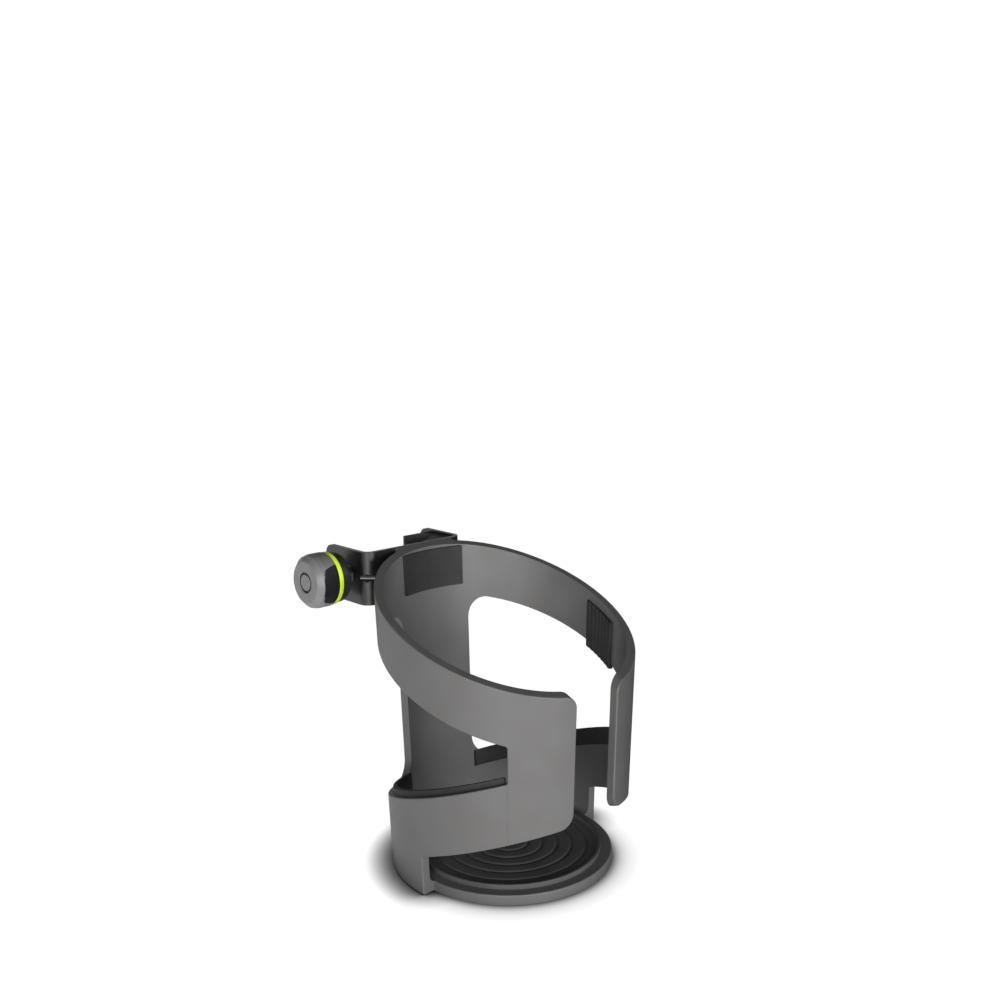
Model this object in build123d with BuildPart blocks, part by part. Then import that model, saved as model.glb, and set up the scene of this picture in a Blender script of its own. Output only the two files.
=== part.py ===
"""Clamp-on bottle holder for a stand tube: a moulded cage, rubber grips and a steel screw clamp.

Frame: millimetres, +Z up, origin at the centre of the base's underside.  The open front gap faces
-Y and the clamp is behind the cage at +Y.  The cage is symmetric about the plane x = 0.
Angles called "around" are measured about Z, from the front gap (-Y) towards either side.
"""

import os
from math import cos, radians, sin, sqrt

from build123d import *

# ---------------------------------------------------------------- driving dimensions: cage
WALL = 3.6                  # cage wall
BASE_RADIUS = 42.5          # base disc
BASE_HEIGHT = 4.0           # base disc rim
CONE_RADIUS = 48.13         # outer radius of the wall, drawn down to z = 0
CONE_SLOPE = 0.0384         # growth of that radius per mm of height (2.2 degrees)
CAGE_TOP = 130.0            # above the highest point, before the top is cut to its plane
REACH = 90.0                # size of cutting shapes, beyond the cage everywhere
RING_INNER = 38.0           # radii that hold the whole wall between them
RING_OUTER = 58.0
HEEL_RADIUS = 1.2           # rounded bottom corner of the wall
HEEL_INNER_RADIUS = 3.0     # the same corner inside

LOWER_SLOPE = -0.346        # the lower band falls towards the back
LOWER_BOTTOM = 15.1         # heights of the band edges over the centre line
LOWER_TOP = 39.4
UPPER_SLOPE = 0.396         # the upper band rises towards the back
UPPER_BOTTOM = 81.2
UPPER_TOP = 103.2

GAP_HALF = 10.9             # half width of the front gap
POST_AROUND = 42.8          # rear edge of each front post
LEG_AROUND = 86.0           # front edge of the wall that stands on the base
SPINE_AROUND = 158.0        # edge of the back spine
TOP_CORNER = 4.5            # free corners of the front posts
BOTTOM_CORNER = 5.5
WINDOW_CORNER = 1.2
SPINE_CORNER = 8.0
EDGE = 0.5                  # edge rounding
OVERCUT = 1.0               # how far a cutting shape starts outside the face it cuts
SEAM_DEPTH = 0.12           # parting line that runs on down from each post
SEAM_WIDTH = 0.4            # degrees

# ---------------------------------------------------------------- driving dimensions: rubber
MAT_RADIUS = 38.0
MAT_BOTTOM = 3.3
MAT_TOP = 5.0
MAT_LIP = 0.9               # raised rim of the mat
MAT_LIP_WIDTH = 1.4
LIP_FROM = 43.4             # lower lip strips, around
LIP_TO = 157.0
LIP_DEPTH = 2.0             # plastic left outside them
LIP_PROUD = 0.6             # how far the rubber stands inside the wall
LIP_ABOVE = 2.6             # how far a strip stands above the band
LIP_BELOW = 5.0             # how far it reaches down into its rebate
PAD_FROM = 70.5             # side grip pads, around
PAD_TO = 91.0
PAD_DEPTH = 2.4             # plastic left outside them
PAD_PROUD = 1.2
PAD_BELOW = 2.2             # how far a side pad hangs under the band
PAD_TOP_MARGIN = 4.0
REAR_PAD_HALF = 19.0        # rear pad, degrees each side of the back
REAR_PAD_THICKNESS = 1.3
REAR_PAD_LOW = 104.3
REAR_PAD_HEIGHT = 17.0

# ---------------------------------------------------------------- driving dimensions: bracket
PLATE = 2.0                 # bracket sheet
BEND = 3.0                  # inside bend radius
WEB_FRONT = 52.5            # y of the bracket's face against the cage
SCREW_FLANGE_END = 81.5     # y of the free end of the screw flange
JAW_FLANGE_END = 80.0       # y of the free end of the jaw flange
SCREW_FLANGE_X = -30.5      # outer face of the screw flange
JAW_FLANGE_X = 22.0         # outer face of the jaw flange
BRACKET_TOP = 123.8
BRACKET_HEIGHT = 22.7
FLANGE_CORNER = 4.0
AXIS_Y = 66.0               # screw axis
AXIS_Z = 112.8
SADDLE_HALF = 15.0          # flat seat moulded on the back of the cage
GUSSET_R = 1.4              # groove pressed across each bend, with a web inside it
GUSSET_DEPTH = 1.1
GUSSET_LENGTH = 12.0
GUSSET_LEG = 3.2
GUSSET_WEB = 3.4

FIXING_X = 11.0             # fixing screws, each side of the middle
FIXING_R = 2.0
FIXING_HEAD_R = 3.8
FIXING_HEAD = 1.9
SOCKET_R = 1.4              # hexagon socket in each head
SOCKET_DEPTH = 0.9
FIXING_SEAT_Y = 50.6        # underside of the screw heads
FIXING_HOLE_R = 2.2
RECESS_R = 4.1
WASHER_R = 4.4
WASHER = 0.8
NUT_FLATS = 7.0
NUT = 2.2
THREAD_SHOWN = 0.4          # screw end past its nut

# ---------------------------------------------------------------- driving dimensions: clamp screw
SPINDLE_R = 3.0
SPINDLE_FRONT = -45.6       # end of the spindle inside the knob
BUSH_R = 5.5
BUSH_LENGTH = 7.0
BUSH_SPIGOT_R = 4.3
THREAD_CLEARANCE = 0.05     # running fit of the spindle in its bush

SHOE_BACK = -1.2            # back of the swivel pad, clamp closed
SHOE_R = 6.5
SHOE_THICKNESS = 4.2
FACE_THICKNESS = 1.6        # rubber face bonded in the swivel pad
FACE_PROUD = 0.7
SHOE_GAP = 0.3              # end play between spindle shoulder and swivel pad
STUB_R = 1.7                # spindle end that turns inside the swivel pad
STUB_LENGTH = 2.7
STUB_CLEARANCE = 0.05
SHOE_FLOOR = 1.4            # plastic between the stub shoulder and the clip
CLIP_R = 2.7                # retaining ring on the stub, inside the swivel pad
CLIP = 0.5
CLIP_ROOM_R = 3.1
CLIP_GROOVE_R = 1.2
CLIP_MOUTH = 1.8            # opening of the clip
SHOE_NECK_R = 4.2
SHOE_NECK = 1.6             # length of the tapered neck
SHOE_RIM = 0.9              # rim round the rubber face
FACE_EDGE = 0.4

KNOB_FACE = -51.6
KNOB_R = 11.0               # rim of the face
KNOB_BEVEL = 2.2
BODY_R = 11.4               # between the rim and the coloured ring
BODY_START = -47.6
FLANGE = 0.6                # round flange that closes the pockets at the coloured ring
GROOVE_INNER_R = 3.4        # plain ring-shaped groove in the middle of the face
GROOVE_OUTER_R = 4.4
GROOVE_DEPTH = 0.8
KNOB_RING_X = -40.9         # middle of the coloured ring
KNOB_BACK = -35.3
RING_WIDTH = 2.0
RING_R = 11.2
RING_ROUND = 0.3
RING_SEAT_R = 8.6           # neck that carries the ring
COLLAR_R = 10.8
COLLAR_EDGE = 0.4           # bevel beside the coloured ring
COLLAR_TAPER = 0.3
COLLAR_BEVEL_R = 9.7        # back face of the collar
COLLAR_BEVEL = 1.2
POCKET_TURNS = (95.0, -85.0)             # finger pockets, degrees about the screw axis from +Z
POCKET_FACETS = ((0.0, 9.3), (-23.0, 10.1), (23.0, 10.1))   # each one's turn and distance at the ring
POCKET_SLOPE = 7.0          # the facets come in towards the coloured ring by this angle
POCKET_START = -49.1        # rim of the face, where the pockets begin
INSERT_FLATS = 9.0          # hexagonal insert inside the knob
INSERT_FRONT = -46.6
PIN_R = 1.0                 # cross pin through insert and spindle
PIN_X = -37.9
PIN_HALF = 4.3

VEE_X = 14.0                # bottom of the vee, which opens towards -X
VEE_TIP_X = 5.5
VEE_HALF = 7.8
VEE_TIP = 0.8               # flat on each tip
VEE_HEIGHT = 20.0
VEE_LINER = 1.0
RIVET_R = 1.5
RIVET_HEAD_R = 2.8
RIVET_HEAD = 0.9
RIVET_ROUND = 0.5
RIVET_DEPTH = 3.6           # rivet inside the vee block
RIVET_Z = 6.5               # rivets above and below the screw axis

BRACKET_LOW = BRACKET_TOP - BRACKET_HEIGHT
WEB_BACK = WEB_FRONT + PLATE
SCREW_FLANGE_IN = SCREW_FLANGE_X + PLATE
JAW_FLANGE_IN = JAW_FLANGE_X - PLATE
SHOE_FRONT = SHOE_BACK + SHOE_THICKNESS
AXIS_POINT = (0, AXIS_Y, AXIS_Z)
SCREW_AXIS = Axis(AXIS_POINT, (1, 0, 0))
ROUND_X = Plane(origin=AXIS_POINT, x_dir=(0, 1, 0), z_dir=(1, 0, 0))
ALONG_X = Plane(origin=AXIS_POINT, x_dir=(1, 0, 0), z_dir=(0, -1, 0))

os.makedirs("parts", exist_ok=True)


# ---------------------------------------------------------------- shared geometry
def wall_radius(z):
    """Outer radius of the cage wall at height z."""
    return CONE_RADIUS + CONE_SLOPE * z


def tilted(height, slope):
    """Plane z = height + slope * y, facing up."""
    return Plane(origin=(0, 0, height), z_dir=(0, -slope, 1))


def around(angle, radius, side=1):
    """Point on a circle about Z, at an angle from the front gap towards one side."""
    return (side * radius * sin(radians(angle)), -radius * cos(radians(angle)))


def mid_wall(angle, height, slope, side):
    """Point halfway through the wall, where a tilted plane crosses it at an angle around."""
    z = height
    for _ in range(4):
        x, y = around(angle, wall_radius(z) - WALL / 2, side)
        z = height + slope * y
    return Vector(x, y, z)


def mid_post(height, slope, side):
    """The same point at the free end of a front post."""
    z = height
    for _ in range(4):
        y = -sqrt((wall_radius(z) - WALL / 2) ** 2 - GAP_HALF**2)
        z = height + slope * y
    return Vector(side * GAP_HALF, y, z)


def across_x(x):
    """Plane facing +X at x, centred on the screw axis."""
    return ROUND_X.offset(x)


def sector_prism(start, end, side=1):
    """Upright ring sector that holds the wall between two angles around."""
    with BuildPart() as prism:
        with BuildSketch():
            Circle(RING_OUTER)
            Circle(RING_INNER, mode=Mode.SUBTRACT)
            with BuildLine():
                Polyline(
                    (0, 0),
                    around(start, REACH, side),
                    around((start + end) / 2, REACH, side),
                    around(end, REACH, side),
                    close=True,
                )
            make_face(mode=Mode.INTERSECT)
        extrude(amount=CAGE_TOP)
    return prism.part


def wall_layer(inner_inset, outer_inset, low=0, high=CAGE_TOP):
    """Conical layer between two insets from the outer face of the wall."""
    with BuildPart() as layer:
        with BuildSketch(Plane.XZ):
            with BuildLine():
                Polyline(
                    (wall_radius(low) - inner_inset, low),
                    (wall_radius(low) - outer_inset, low),
                    (wall_radius(high) - outer_inset, high),
                    (wall_radius(high) - inner_inset, high),
                    close=True,
                )
            make_face()
        revolve(axis=Axis.Z)
    return layer.part


def strip(inner_inset, outer_inset, start, end, low_plane, high_plane, side):
    """Piece of a wall layer between two angles around and two tilted planes."""
    with BuildPart() as piece:
        add(wall_layer(inner_inset, outer_inset))
        add(sector_prism(start, end, side), mode=Mode.INTERSECT)
        split(bisect_by=low_plane, keep=Keep.TOP)
        split(bisect_by=high_plane, keep=Keep.BOTTOM)
    return piece.part


def front_sector(low):
    """Sketch of everything in front of the legs, at height low."""
    with BuildSketch(Plane.XY.offset(low)) as area:
        with BuildLine():
            Polyline(
                (0, 0),
                around(LEG_AROUND, REACH, -1),
                (-REACH, -REACH),
                (REACH, -REACH),
                around(LEG_AROUND, REACH, 1),
                close=True,
            )
        make_face()
    return area.sketch


def turned(*points):
    """Solid of revolution about the screw axis, from (x, radius) corner points."""
    with BuildPart() as turning:
        with BuildSketch(ALONG_X):
            with BuildLine():
                Polyline(*points, close=True)
            make_face()
        revolve(axis=SCREW_AXIS)
    return turning.part


def round_bar(radius, start, end):
    """Cylinder on the screw axis between two x positions."""
    return turned((start, 0), (start, radius), (end, radius), (end, 0))


def hollow_bar(inner_radius, outer_radius, start, end):
    """Tube on the screw axis between two x positions."""
    return turned(
        (start, inner_radius),
        (start, outer_radius),
        (end, outer_radius),
        (end, inner_radius),
    )


def cross_pin():
    """Upright pin through the knob insert and the spindle."""
    with BuildPart() as pin:
        with BuildSketch(Plane.XY.offset(AXIS_Z - PIN_HALF)):
            with Locations((PIN_X, AXIS_Y)):
                Circle(PIN_R)
        extrude(amount=2 * PIN_HALF)
    return pin.part


PLASTIC = (0.30, 0.30, 0.30)
RUBBER = (0.06, 0.06, 0.06)
BLACK_STEEL = (0.10, 0.10, 0.10)
ZINC = (0.70, 0.72, 0.74)
BRASS = (0.78, 0.62, 0.28)
LIME = (0.72, 0.88, 0.15)


# ---------------------------------------------------------------- rubber strips and pads
def lower_lip(side):
    """Rubber strip in a rebate of the lower band, standing above its edge."""
    low_plane = tilted(LOWER_TOP - LIP_BELOW, LOWER_SLOPE)
    high_plane = tilted(LOWER_TOP + LIP_ABOVE, LOWER_SLOPE)
    return strip(WALL + LIP_PROUD, LIP_DEPTH, LIP_FROM, LIP_TO, low_plane, high_plane, side)


def side_pad(side):
    """Rubber grip pad let into the upper band, hanging a little below it."""
    low_plane = tilted(UPPER_BOTTOM - PAD_BELOW, UPPER_SLOPE)
    high_plane = tilted(UPPER_TOP - PAD_TOP_MARGIN, UPPER_SLOPE)
    return strip(WALL + PAD_PROUD, PAD_DEPTH, PAD_FROM, PAD_TO, low_plane, high_plane, side)


with BuildPart() as lower_lip_left:
    add(lower_lip(-1))
with BuildPart() as lower_lip_right:
    add(lower_lip(1))
with BuildPart() as side_pad_left:
    add(side_pad(-1))
with BuildPart() as side_pad_right:
    add(side_pad(1))

# Thin pad over the fixing screws, against the inside of the back.
with BuildPart() as rear_pad:
    add(wall_layer(WALL + REAR_PAD_THICKNESS, WALL, REAR_PAD_LOW, REAR_PAD_LOW + REAR_PAD_HEIGHT))
    with BuildSketch():
        with BuildLine():
            Polyline(
                (0, 0),
                around(180 - REAR_PAD_HALF, REACH, -1),
                around(180 - REAR_PAD_HALF, REACH, 1),
                close=True,
            )
        make_face()
    extrude(amount=CAGE_TOP, mode=Mode.INTERSECT)
    fillet(rear_pad.edges().filter_by(GeomType.LINE).group_by(SortBy.LENGTH)[0], radius=EDGE)

# Rubber mat with a raised rim, let into the floor.
with BuildPart() as base_mat:
    with BuildSketch(Plane.XZ):
        with BuildLine():
            Polyline(
                (0, MAT_BOTTOM),
                (MAT_RADIUS, MAT_BOTTOM),
                (MAT_RADIUS, MAT_TOP + MAT_LIP),
                (MAT_RADIUS - MAT_LIP_WIDTH, MAT_TOP + MAT_LIP),
                (MAT_RADIUS - MAT_LIP_WIDTH - MAT_LIP, MAT_TOP),
                (0, MAT_TOP),
                close=True,
            )
        make_face()
    revolve(axis=Axis.Z)


# ---------------------------------------------------------------- moulded cage
def side_window(side):
    """Opening between the two bands, from the front post to the spine."""
    with BuildPart() as window:
        add(sector_prism(POST_AROUND, SPINE_AROUND, side))
        split(bisect_by=tilted(LOWER_TOP, LOWER_SLOPE), keep=Keep.TOP)
        split(bisect_by=tilted(UPPER_BOTTOM, UPPER_SLOPE), keep=Keep.BOTTOM)
        for angle, radius in ((POST_AROUND, WINDOW_CORNER), (SPINE_AROUND, SPINE_CORNER)):
            for height, slope in ((LOWER_TOP, LOWER_SLOPE), (UPPER_BOTTOM, UPPER_SLOPE)):
                corner = mid_wall(angle, height, slope, side)
                fillet(window.edges().sort_by_distance(corner)[0], radius=radius)
    return window.part


# Everything in front of the legs and under the lower band, above the base disc.
with BuildPart() as front_opening:
    extrude(front_sector(BASE_HEIGHT), amount=CAGE_TOP)
    split(bisect_by=tilted(LOWER_BOTTOM, LOWER_SLOPE), keep=Keep.BOTTOM)
    for leg_side in (-1, 1):
        leg_corner = mid_wall(LEG_AROUND, LOWER_BOTTOM, LOWER_SLOPE, leg_side)
        fillet(front_opening.edges().sort_by_distance(leg_corner)[0], radius=WINDOW_CORNER)

# Ring outside the base disc, in front of the legs.
with BuildPart() as rim_trim:
    extrude(front_sector(-OVERCUT), amount=BASE_HEIGHT + OVERCUT)
    Cylinder(BASE_RADIUS, 4 * BASE_HEIGHT, mode=Mode.SUBTRACT)

# Flat seat for the bracket on the back of the upper band.
with BuildPart() as saddle:
    with BuildSketch(Plane.XY.offset(UPPER_BOTTOM)):
        with Locations((0, (RING_INNER + WEB_FRONT) / 2)):
            Rectangle(2 * SADDLE_HALF, WEB_FRONT - RING_INNER)
    extrude(amount=CAGE_TOP - UPPER_BOTTOM)
    add(wall_layer(REACH / 2, WALL / 2), mode=Mode.SUBTRACT)
    split(bisect_by=tilted(UPPER_BOTTOM, UPPER_SLOPE), keep=Keep.TOP)
    split(bisect_by=tilted(UPPER_TOP, UPPER_SLOPE), keep=Keep.BOTTOM)

with BuildPart() as cage:
    with BuildSketch(Plane.XZ) as wall_profile:
        with BuildLine():
            Polyline(
                (0, 0),
                (wall_radius(0), 0),
                (wall_radius(CAGE_TOP), CAGE_TOP),
                (wall_radius(CAGE_TOP) - WALL, CAGE_TOP),
                (wall_radius(BASE_HEIGHT) - WALL, BASE_HEIGHT),
                (0, BASE_HEIGHT),
                close=True,
            )
        make_face()
        heel_points = (
            ((wall_radius(0), 0), HEEL_RADIUS),
            ((wall_radius(BASE_HEIGHT) - WALL, BASE_HEIGHT), HEEL_INNER_RADIUS),
        )
        for point, radius in heel_points:
            fillet(wall_profile.vertices().sort_by_distance(point)[0], radius=radius)
    revolve(axis=Axis.Z)
    split(bisect_by=tilted(UPPER_TOP, UPPER_SLOPE), keep=Keep.BOTTOM)
    with BuildSketch(Plane.XY.offset(BASE_HEIGHT)):
        with Locations((0, -REACH / 2)):
            Rectangle(2 * GAP_HALF, REACH)
    extrude(amount=CAGE_TOP, mode=Mode.SUBTRACT)
    add(front_opening.part, mode=Mode.SUBTRACT)
    add(rim_trim.part, mode=Mode.SUBTRACT)
    for window_side in (-1, 1):
        add(side_window(window_side), mode=Mode.SUBTRACT)
    for post_side in (-1, 1):
        free_top = mid_post(UPPER_TOP, UPPER_SLOPE, post_side)
        fillet(cage.edges().sort_by_distance(free_top)[0], radius=TOP_CORNER)
        free_bottom = mid_post(LOWER_BOTTOM, LOWER_SLOPE, post_side)
        fillet(cage.edges().sort_by_distance(free_bottom)[0], radius=BOTTOM_CORNER)
    outer_wall = cage.faces().filter_by(GeomType.CONE).sort_by(SortBy.AREA)[-1]
    heel_edges = cage.faces().filter_by(GeomType.TORUS).edges()
    fillet([edge for edge in outer_wall.edges() if edge not in heel_edges], radius=EDGE)
    rim_point = (0, -BASE_RADIUS, BASE_HEIGHT)
    fillet(cage.edges().sort_by_distance(rim_point)[0], radius=EDGE)
    add(saddle.part)
    split(bisect_by=Plane.XZ.offset(-WEB_FRONT), keep=Keep.TOP)
    # Recesses for the rubber.
    for rubber in (lower_lip_left, lower_lip_right, side_pad_left, side_pad_right, base_mat):
        add(rubber.part, mode=Mode.SUBTRACT)
    # Holes and head recesses for the two fixing screws.
    with Locations((-FIXING_X, 0, AXIS_Z), (FIXING_X, 0, AXIS_Z)):
        Cylinder(
            FIXING_HOLE_R,
            REACH,
            rotation=(-90, 0, 0),
            align=(Align.CENTER, Align.CENTER, Align.MIN),
            mode=Mode.SUBTRACT,
        )
        Cylinder(
            RECESS_R,
            FIXING_SEAT_Y,
            rotation=(-90, 0, 0),
            align=(Align.CENTER, Align.CENTER, Align.MIN),
            mode=Mode.SUBTRACT,
        )
    # Parting line from the rear edge of each post down across the lower band.
    seam_low = tilted(LOWER_BOTTOM - OVERCUT, LOWER_SLOPE)
    seam_high = tilted(LOWER_TOP, LOWER_SLOPE)
    for seam_side in (-1, 1):
        seam_end = POST_AROUND + SEAM_WIDTH
        seam = strip(SEAM_DEPTH, -OVERCUT, POST_AROUND, seam_end, seam_low, seam_high, seam_side)
        add(seam, mode=Mode.SUBTRACT)


# ---------------------------------------------------------------- clamp bracket
def bend_path(outer_offset):
    """Corner points of one face of the bent sheet, seen from above."""
    return (
        (SCREW_FLANGE_X + outer_offset, SCREW_FLANGE_END),
        (SCREW_FLANGE_X + outer_offset, WEB_FRONT + outer_offset),
        (JAW_FLANGE_X - outer_offset, WEB_FRONT + outer_offset),
        (JAW_FLANGE_X - outer_offset, JAW_FLANGE_END),
    )


with BuildPart() as clamp_bracket:
    with BuildSketch(Plane.XY.offset(BRACKET_LOW)) as bent_sheet:
        with BuildLine():
            Polyline(*bend_path(0), *reversed(bend_path(PLATE)), close=True)
        make_face()
        for bend_x in (SCREW_FLANGE_X, JAW_FLANGE_X):
            inward = 1 if bend_x < 0 else -1
            outer_corner = (bend_x, WEB_FRONT)
            inner_corner = (bend_x + inward * PLATE, WEB_BACK)
            fillet(bent_sheet.vertices().sort_by_distance(outer_corner)[0], radius=BEND + PLATE)
            fillet(bent_sheet.vertices().sort_by_distance(inner_corner)[0], radius=BEND)
    extrude(amount=BRACKET_HEIGHT)
    for flange_x, flange_end in (
        (SCREW_FLANGE_X + PLATE / 2, SCREW_FLANGE_END),
        (JAW_FLANGE_X - PLATE / 2, JAW_FLANGE_END),
    ):
        for corner_z in (BRACKET_LOW, BRACKET_TOP):
            free_corner = (flange_x, flange_end, corner_z)
            fillet(clamp_bracket.edges().sort_by_distance(free_corner)[0], radius=FLANGE_CORNER)
    # Gussets: a triangular web inside each bend and a groove pressed in from outside.
    for bend_x, inward in ((SCREW_FLANGE_X, 1), (JAW_FLANGE_X, -1)):
        web_x = bend_x + inward * PLATE
        with BuildSketch(Plane.XY.offset(AXIS_Z - GUSSET_WEB / 2)):
            with BuildLine():
                Polyline(
                    (web_x - inward * PLATE / 2, WEB_BACK - PLATE / 2),
                    (web_x + inward * GUSSET_LEG, WEB_BACK - PLATE / 2),
                    (web_x + inward * GUSSET_LEG, WEB_BACK),
                    (web_x, WEB_BACK + GUSSET_LEG),
                    (web_x - inward * PLATE / 2, WEB_BACK + GUSSET_LEG),
                    close=True,
                )
            make_face()
        extrude(amount=GUSSET_WEB)
        reach = (BEND + PLATE - GUSSET_DEPTH + GUSSET_R) / sqrt(2)
        groove_x = bend_x + inward * (BEND + PLATE - reach)
        groove_y = WEB_FRONT + BEND + PLATE - reach
        with Locations(Plane(origin=(groove_x, groove_y, AXIS_Z), z_dir=(1, -inward, 0))):
            Cylinder(GUSSET_R, GUSSET_LENGTH, mode=Mode.SUBTRACT)
    # Hole for the bush spigot.
    with BuildSketch(across_x(SCREW_FLANGE_X)):
        Circle(BUSH_SPIGOT_R)
    extrude(amount=PLATE, mode=Mode.SUBTRACT)
    # Fixing screw holes.
    with BuildSketch(Plane.XZ.offset(-WEB_FRONT)):
        with Locations((-FIXING_X, AXIS_Z), (FIXING_X, AXIS_Z)):
            Circle(FIXING_HOLE_R)
    extrude(amount=-PLATE, mode=Mode.SUBTRACT)
    # Rivet holes of the vee jaw.
    with BuildSketch(across_x(JAW_FLANGE_IN)):
        with Locations((0, -RIVET_Z), (0, RIVET_Z)):
            Circle(RIVET_R)
    extrude(amount=PLATE, mode=Mode.SUBTRACT)

# ---------------------------------------------------------------- fixings
def along_y(radius, start, end, x):
    """Cylinder along Y at x, on the height of the screw axis."""
    with BuildPart() as bar:
        with BuildSketch(Plane.XZ.offset(-start)):
            with Locations((x, AXIS_Z)):
                Circle(radius)
        extrude(amount=start - end)
    return bar.part


NUT_SEAT_Y = WEB_BACK + WASHER
NUT_END_Y = NUT_SEAT_Y + NUT
with BuildPart() as fixing_screws:
    for screw_x in (-FIXING_X, FIXING_X):
        add(along_y(FIXING_HEAD_R, FIXING_SEAT_Y - FIXING_HEAD, FIXING_SEAT_Y, screw_x))
        add(along_y(FIXING_R, FIXING_SEAT_Y, NUT_END_Y + THREAD_SHOWN, screw_x))
        with BuildSketch(Plane.XZ.offset(FIXING_HEAD - FIXING_SEAT_Y)):
            with Locations((screw_x, AXIS_Z)):
                RegularPolygon(SOCKET_R, 6)
        extrude(amount=-SOCKET_DEPTH, mode=Mode.SUBTRACT)

with BuildPart() as fixing_washers:
    for washer_x in (-FIXING_X, FIXING_X):
        add(along_y(WASHER_R, WEB_BACK, NUT_SEAT_Y, washer_x))
        add(along_y(FIXING_HOLE_R, WEB_BACK, NUT_SEAT_Y, washer_x), mode=Mode.SUBTRACT)

with BuildPart() as fixing_nuts:
    with BuildSketch(Plane.XZ.offset(-NUT_SEAT_Y)):
        with Locations((-FIXING_X, AXIS_Z), (FIXING_X, AXIS_Z)):
            RegularPolygon(NUT_FLATS / 2, 6, major_radius=False)
            Circle(FIXING_R, mode=Mode.SUBTRACT)
    extrude(amount=-NUT)

# ---------------------------------------------------------------- vee jaw
def vee_outline(apex_x, half):
    """Corner points of the vee, from one tip to the other."""
    return ((VEE_TIP_X, AXIS_Y - half), (apex_x, AXIS_Y), (VEE_TIP_X, AXIS_Y + half))


VEE_LOW = AXIS_Z - VEE_HEIGHT / 2
LINER_BACK = VEE_X + VEE_LINER * sqrt(2)
SEAT_HALF = VEE_HALF - VEE_TIP
with BuildPart() as vee_jaw:
    with BuildSketch(Plane.XY.offset(VEE_LOW)):
        with BuildLine():
            Polyline(
                (JAW_FLANGE_IN, AXIS_Y - VEE_HALF),
                (VEE_TIP_X, AXIS_Y - VEE_HALF),
                *vee_outline(LINER_BACK, SEAT_HALF),
                (VEE_TIP_X, AXIS_Y + VEE_HALF),
                (JAW_FLANGE_IN, AXIS_Y + VEE_HALF),
                close=True,
            )
        make_face()
    extrude(amount=VEE_HEIGHT)
    with BuildSketch(across_x(JAW_FLANGE_IN)):
        with Locations((0, -RIVET_Z), (0, RIVET_Z)):
            Circle(RIVET_R)
    extrude(amount=-RIVET_DEPTH, mode=Mode.SUBTRACT)

with BuildPart() as vee_liner:
    with BuildSketch(Plane.XY.offset(VEE_LOW)):
        with BuildLine():
            Polyline(
                *vee_outline(LINER_BACK, SEAT_HALF),
                *reversed(vee_outline(VEE_X, SEAT_HALF - VEE_LINER * sqrt(2))),
                close=True,
            )
        make_face()
    extrude(amount=VEE_HEIGHT)

with BuildPart() as vee_rivets:
    for rivet_z in (-RIVET_Z, RIVET_Z):
        with BuildSketch(across_x(JAW_FLANGE_IN - RIVET_DEPTH)):
            with Locations((0, rivet_z)):
                Circle(RIVET_R)
        extrude(amount=RIVET_DEPTH + PLATE)
        with BuildSketch(across_x(JAW_FLANGE_X)):
            with Locations((0, rivet_z)):
                Circle(RIVET_HEAD_R)
        extrude(amount=RIVET_HEAD)
    fillet(vee_rivets.faces().sort_by(Axis.X)[-2:].edges(), radius=RIVET_ROUND)

# ---------------------------------------------------------------- clamp screw
BUSH_END = SCREW_FLANGE_IN + BUSH_LENGTH
with BuildPart() as spindle_bush:
    add(round_bar(BUSH_SPIGOT_R, SCREW_FLANGE_X, SCREW_FLANGE_IN))
    add(round_bar(BUSH_R, SCREW_FLANGE_IN, BUSH_END))
    fillet(spindle_bush.faces().sort_by(Axis.X)[-1].edges(), radius=EDGE)
    add(
        round_bar(SPINDLE_R + THREAD_CLEARANCE, SCREW_FLANGE_X, BUSH_END),
        mode=Mode.SUBTRACT,
    )

SHOULDER = SHOE_BACK - SHOE_GAP
STUB_END = SHOULDER + STUB_LENGTH
CLIP_X = SHOE_BACK + SHOE_FLOOR + SHOE_GAP
with BuildPart() as clamp_spindle:
    add(round_bar(SPINDLE_R, SPINDLE_FRONT, SHOULDER))
    chamfer(clamp_spindle.faces().sort_by(Axis.X)[0].edges(), length=EDGE)
    add(round_bar(STUB_R, SHOULDER, STUB_END))
    add(hollow_bar(CLIP_GROOVE_R, 2 * STUB_R, CLIP_X, CLIP_X + CLIP), mode=Mode.SUBTRACT)
    add(cross_pin(), mode=Mode.SUBTRACT)

with BuildPart() as stub_clip:
    add(hollow_bar(CLIP_GROOVE_R, CLIP_R, CLIP_X, CLIP_X + CLIP))
    # Mouth of the clip, where it snaps on.
    with BuildSketch(across_x(CLIP_X)):
        with Locations((0, -CLIP_R)):
            Rectangle(CLIP_MOUTH, 2 * CLIP_R)
    extrude(amount=CLIP, mode=Mode.SUBTRACT)

# Swivel pad: the stub turns in it, so the pad doesn't turn on the tube.
ROOM_START = CLIP_X - SHOE_GAP
FACE_SEAT = SHOE_FRONT - FACE_THICKNESS + FACE_PROUD
with BuildPart() as swivel_pad:
    add(
        turned(
            (SHOE_BACK, STUB_R + STUB_CLEARANCE),
            (SHOE_BACK, SHOE_NECK_R),
            (SHOE_BACK + SHOE_NECK, SHOE_R),
            (SHOE_FRONT, SHOE_R),
            (SHOE_FRONT, SHOE_R - SHOE_RIM),
            (FACE_SEAT, SHOE_R - SHOE_RIM),
            (FACE_SEAT, CLIP_ROOM_R),
            (ROOM_START, CLIP_ROOM_R),
            (ROOM_START, STUB_R + STUB_CLEARANCE),
        )
    )

with BuildPart() as pad_face:
    add(round_bar(SHOE_R - SHOE_RIM, FACE_SEAT, FACE_SEAT + FACE_THICKNESS))
    chamfer(pad_face.faces().sort_by(Axis.X)[-1].edges(), length=FACE_EDGE)


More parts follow.
